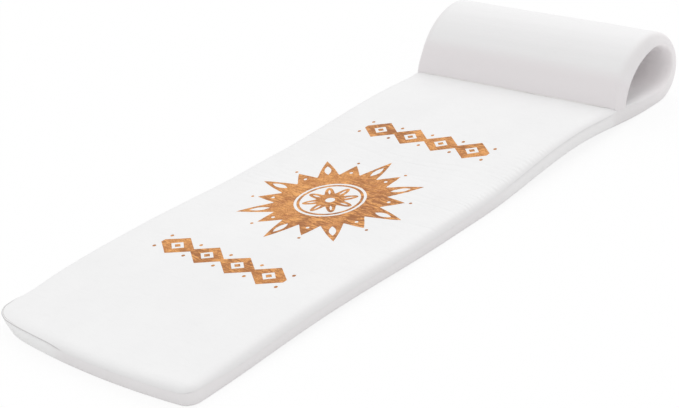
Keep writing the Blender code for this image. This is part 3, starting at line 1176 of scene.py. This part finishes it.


# Deck vinyl: painted light in the bore, on the pillow and at its landed end, with a pinker hue of
# its own; painted shade round the rim.
deck_vinyl = coating_finish(
    "deck_vinyl_finish", bright=(0.890, 0.889, 0.890), mottle_and_crease_shade=(0.855, 0.854, 0.857),
    rolled_up=(0.98, 0.948, 0.955), landed=(0.98, 0.948, 0.955), rim=(0.846, 0.838, 0.841),
    rolled_rim_painted_light=(0.95, 0.915, 0.922), painted_light_strength=0.0, wrinkle_scale=deck_wrinkles, depth=0.7)
# Under vinyl: darker and pinker than the deck, partly a hue of its own and partly painted shade on
# the side walls; painted shade at the pillow's landed end, painted light round the pillow's rim and
# under a crisp seam.
under_vinyl = coating_finish(
    "under_vinyl_finish", bright=(0.862, 0.842, 0.847), mottle_and_crease_shade=(0.802, 0.780, 0.786),
    rolled_up=(0.884, 0.879, 0.883), landed=(0.846, 0.813, 0.823), rim=(0.845, 0.825, 0.830),
    rolled_rim_painted_light=(0.915, 0.889, 0.896), painted_light_strength=0.9, wrinkle_scale=under_wrinkles, depth=0.4)

deck_coating = coating_sheet("deck_coating", deck_edge, deck_columns, deck_heave, 1)
thickened(deck_coating, coating_thickness)
dressed(deck_coating, deck_vinyl, "top_vinyl", "top_skin", "foam_core")

under_coating = coating_sheet("under_coating", under_edge, under_columns, under_heave, -1)
thickened(under_coating, coating_thickness)
dressed(under_coating, under_vinyl, "bottom_vinyl", "bottom_skin", "pillow_skin")

copper = ink_finish()
for name, node, outlines, centre_y in (
    ("print_sun", "print_sunburst", sun_outlines(), print_centre_y),
    ("print_flower", "print_rosette", rosette_outlines(), print_centre_y),
    ("print_foot_row", "print_band_foot", band_outlines(), print_centre_y - band_distance),
    ("print_head_row", "print_band_head", band_outlines(), print_centre_y + band_distance),
):
    dressed(ink_film(name, outlines, centre_y), copper, "copper_ink", node)

dressed(glue_seam(), glue_finish(), "glue", "pillow_bond")


def make_camera():
    """The photograph's camera: its place, the point that it looks at, its roll and its lens, which
    is the focus over the picture's width, both in pixels, times the sensor's width."""
    spot, aim = Vector(camera_spot), Vector(camera_aim)
    ahead = (aim - spot).normalized()
    level = ahead.cross(Vector((0, 0, 1))).normalized()
    up = level.cross(ahead)
    right = cos(camera_roll) * level + sin(camera_roll) * up
    top = cos(camera_roll) * up - sin(camera_roll) * level
    turned = Matrix((right, top, -ahead)).transposed().to_4x4()
    camera = linked("camera", bpy.data.cameras.new("camera"))
    camera.data.sensor_width = sensor_width_mm
    camera.data.lens = focus_pixels / picture_width_pixels * sensor_width_mm
    camera.data.clip_end = view_end
    camera.matrix_world = Matrix.Translation(spot) @ turned
    bpy.context.scene.camera = camera


def make_floor():
    """A wide pale floor. The camera sees it as white and mixed with plain white, so that its
    shadow is faint."""
    mesh = bpy.data.meshes.new("floor")
    corners = [(side * floor_reach, end * floor_reach, floor_height)
               for side, end in ((-1, -1), (1, -1), (1, 1), (-1, 1))]
    mesh.from_pydata(corners, [], [(0, 1, 2, 3)])
    floor = linked("floor", mesh)
    finish = Finish("floor_finish", Roughness=0.9, Specular_IOR_Level=0.0)
    seen = finish.node("ShaderNodeLightPath", {}, {})
    finish.set("Base Color", finish.blend(seen, pale, white))
    glow = finish.node("ShaderNodeEmission", {}, {"Color": (*white, 1), "Strength": 1.0})
    body = Socket(finish, finish.shader.outputs[0])
    mixed = finish.node("ShaderNodeMixShader", {}, {0: floor_white_share * seen, 1: body, 2: glow})
    finish.surface("Material Output", mixed)
    mesh.materials.append(finish.material)


def make_lamp():
    """A soft sun over and behind the mat, facing its middle. Its spread is the angle under which
    the sun is seen."""
    lamp = bpy.data.lights.new("overhead_light", "SUN")
    lamp.energy = lamp_strength
    lamp.angle = lamp_spread
    turned = Vector(lamp_spot).to_track_quat("Z", "Y").to_matrix().to_4x4()
    linked("overhead_light", lamp).matrix_world = Matrix.Translation(lamp_spot) @ turned


def make_studio():
    """Even studio light, which the camera, gloss and clear things see as white."""
    world = bpy.data.worlds.new("studio")
    world.use_nodes = True
    studio = Nodes(world.node_tree)
    studio.tree.nodes.remove(studio.tree.nodes["Background"])
    seen = studio.node("ShaderNodeLightPath", {}, {}, "Is Camera Ray")
    for ray in ("Is Glossy Ray", "Is Transmission Ray"):
        seen = seen.math("MAXIMUM", studio.node("ShaderNodeLightPath", {}, {}, ray))
    shine = {"Color": (*white, 1), "Strength": studio_strength}
    lit = studio.node("ShaderNodeBackground", {}, shine)
    plain = studio.node("ShaderNodeBackground", {}, {"Color": (*white, 1)})
    mixed = studio.node("ShaderNodeMixShader", {}, {0: seen, 1: lit, 2: plain})
    studio.surface("World Output", mixed)
    bpy.context.scene.world = world


make_camera()
make_floor()
make_studio()
make_lamp()
bpy.context.scene.view_settings.view_transform = "Standard"
